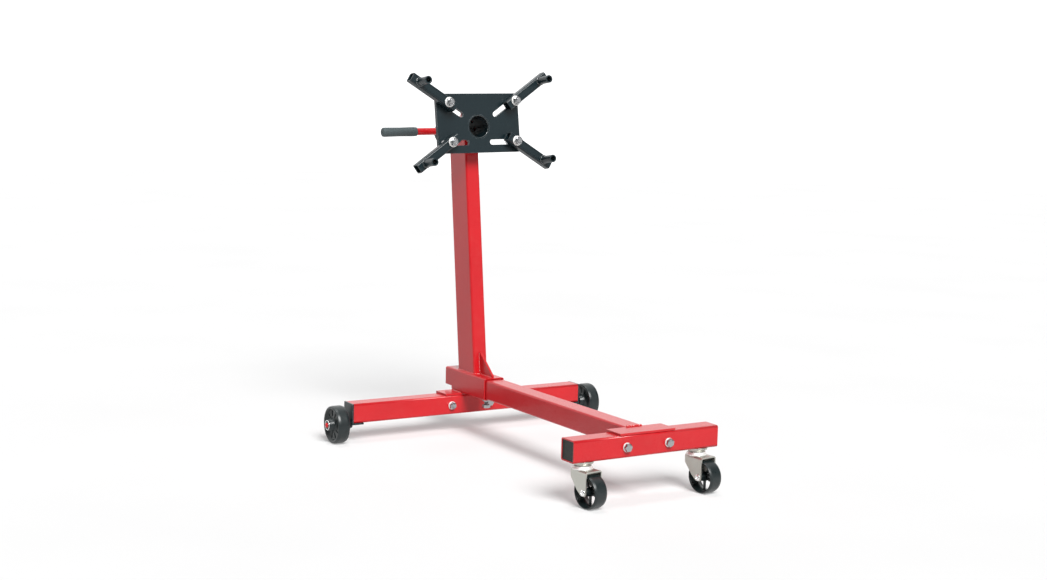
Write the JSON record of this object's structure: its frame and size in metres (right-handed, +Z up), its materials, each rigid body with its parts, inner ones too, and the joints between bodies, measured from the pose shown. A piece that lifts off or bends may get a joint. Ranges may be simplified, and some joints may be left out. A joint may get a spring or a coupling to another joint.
{
  "type": "engine stand",
  "caption": "Wheeled stand with a T-shaped base, a leaning mast and a turning head whose plate carries adjustable slotted arms with bolt sleeves and a side handle.",
  "frame": {"origin": "on the floor, in the middle of the outline", "axes": "+Z up; -Y is the front, where the plate faces and the centre leg reaches; +X is to the right when seen from the front"},
  "size_m": [0.819, 1.015, 0.9512],
  "materials": {
    "red_paint": "gloss red enamel",
    "black_paint": "semi-gloss black powder coat",
    "zinc_plate": "bright zinc plating",
    "wheel_plastic": "satin black moulded plastic",
    "grip_rubber": "matt dark grey rubber",
    "plug_plastic": "matt black plastic"
  },
  "bodies": {
    "frame": {"rear_beam": "red_paint", "front_beam": "red_paint", "centre_leg": "red_paint", "rear_bracket": "red_paint", "front_bracket": "red_paint", "mast_foot": "red_paint", "mast": "red_paint", "mast_gusset": "red_paint", "head_sleeve": "red_paint", "pin_boss": "red_paint", "clamp_nut": "zinc_plate", "clamp_bolt": "zinc_plate", "beam_bolts": "zinc_plate", "beam_washers": "zinc_plate", "beam_nuts": "zinc_plate", "front_plugs": "plug_plastic", "axle_brackets": "black_paint", "rear_axles": "red_paint", "axle_spacers": "black_paint", "axle_clips": "black_paint", "caster_plates": "zinc_plate", "kingpins": "zinc_plate", "kingpin_nuts": "zinc_plate"},
    "lock_pin": {"lock_pin": "zinc_plate"},
    "head": {"head_tube": "black_paint", "mounting_plate": "black_paint", "handle_bar": "red_paint", "handle_grip": "grip_rubber"},
    "slider_upper_left": {"arm_bolt_upper_left": "zinc_plate", "arm_washer_upper_left": "zinc_plate", "arm_nut_upper_left": "zinc_plate"},
    "arm_upper_left": {"arm_upper_left": "black_paint", "finger_upper_left": "black_paint"},
    "slider_upper_right": {"arm_bolt_upper_right": "zinc_plate", "arm_washer_upper_right": "zinc_plate", "arm_nut_upper_right": "zinc_plate"},
    "arm_upper_right": {"arm_upper_right": "black_paint", "finger_upper_right": "black_paint"},
    "slider_lower_left": {"arm_bolt_lower_left": "zinc_plate", "arm_washer_lower_left": "zinc_plate", "arm_nut_lower_left": "zinc_plate"},
    "arm_lower_left": {"arm_lower_left": "black_paint", "finger_lower_left": "black_paint"},
    "slider_lower_right": {"arm_bolt_lower_right": "zinc_plate", "arm_washer_lower_right": "zinc_plate", "arm_nut_lower_right": "zinc_plate"},
    "arm_lower_right": {"arm_lower_right": "black_paint", "finger_lower_right": "black_paint"},
    "caster_fork_left": {"caster_fork_left": "zinc_plate", "caster_axle_left": "zinc_plate"},
    "caster_wheel_left": {"caster_wheel_left": "wheel_plastic"},
    "rear_wheel_left": {"rear_wheel_left": "wheel_plastic", "hub_ring_left": "zinc_plate"},
    "caster_fork_right": {"caster_fork_right": "zinc_plate", "caster_axle_right": "zinc_plate"},
    "caster_wheel_right": {"caster_wheel_right": "wheel_plastic"},
    "rear_wheel_right": {"rear_wheel_right": "wheel_plastic", "hub_ring_right": "zinc_plate"}
  },
  "joints": [
    {"name": "head_turn", "type": "hinge", "parent": "frame", "child": "head", "pos_m": [0, 0.31707, 0.805], "axis": [0, -0.9925, 0.1219], "continuous": true},
    {"name": "lock_pin_drop", "type": "slide", "parent": "frame", "child": "lock_pin", "axis": [0, -0.1219, -0.9925], "range_m": [0, 0.009]},
    {"name": "slot_slide_upper_left", "type": "slide", "parent": "head", "child": "slider_upper_left", "axis": [-0.8526, 0.0637, 0.5186], "range_m": [-0.054, 0.006]},
    {"name": "arm_pivot_upper_left", "type": "hinge", "parent": "slider_upper_left", "child": "arm_upper_left", "pos_m": [-0.0987, 0.32425, 0.86345], "axis": [0, -0.9925, 0.1219], "range_deg": [-40, 40]},
    {"name": "slot_slide_upper_right", "type": "slide", "parent": "head", "child": "slider_upper_right", "axis": [0.8241, 0.069, 0.5622], "range_m": [-0.0585, 0.0015]},
    {"name": "arm_pivot_upper_right", "type": "hinge", "parent": "slider_upper_right", "child": "arm_upper_right", "pos_m": [0.09919, 0.32518, 0.87103], "axis": [0, -0.9925, 0.1219], "range_deg": [-40, 40]},
    {"name": "slot_slide_lower_left", "type": "slide", "parent": "head", "child": "slider_lower_left", "axis": [-0.9997, -0.0032, -0.026], "range_m": [-0.055, 0.013]},
    {"name": "arm_pivot_lower_left", "type": "hinge", "parent": "slider_lower_left", "child": "arm_lower_left", "pos_m": [-0.0924, 0.31178, 0.76189], "axis": [0, -0.9925, 0.1219], "range_deg": [-40, 40]},
    {"name": "slot_slide_lower_right", "type": "slide", "parent": "head", "child": "slider_lower_right", "axis": [0.9997, 0.0032, 0.026], "range_m": [-0.059, 0.009]},
    {"name": "arm_pivot_lower_right", "type": "hinge", "parent": "slider_lower_right", "child": "arm_lower_right", "pos_m": [0.09854, 0.31239, 0.76685], "axis": [0, -0.9925, 0.1219], "range_deg": [-40, 40]},
    {"name": "caster_swivel_left", "type": "hinge", "parent": "frame", "child": "caster_fork_left", "pos_m": [-0.156, -0.43893, 0.08], "axis": [0, 0, 1], "continuous": true},
    {"name": "caster_spin_left", "type": "hinge", "parent": "caster_fork_left", "child": "caster_wheel_left", "pos_m": [-0.15286, -0.46876, 0.0375], "axis": [0.9945, 0.1045, 0], "continuous": true},
    {"name": "caster_swivel_right", "type": "hinge", "parent": "frame", "child": "caster_fork_right", "pos_m": [0.156, -0.43893, 0.08], "axis": [0, 0, 1], "continuous": true},
    {"name": "caster_spin_right", "type": "hinge", "parent": "caster_fork_right", "child": "caster_wheel_right", "pos_m": [0.15914, -0.46876, 0.0375], "axis": [0.9945, 0.1045, 0], "continuous": true},
    {"name": "rear_wheel_spin_left", "type": "hinge", "parent": "frame", "child": "rear_wheel_left", "pos_m": [-0.378, 0.34807, 0.0475], "axis": [1, 0, 0], "continuous": true},
    {"name": "rear_wheel_spin_right", "type": "hinge", "parent": "frame", "child": "rear_wheel_right", "pos_m": [0.378, 0.34807, 0.0475], "axis": [1, 0, 0], "continuous": true}
  ]
}
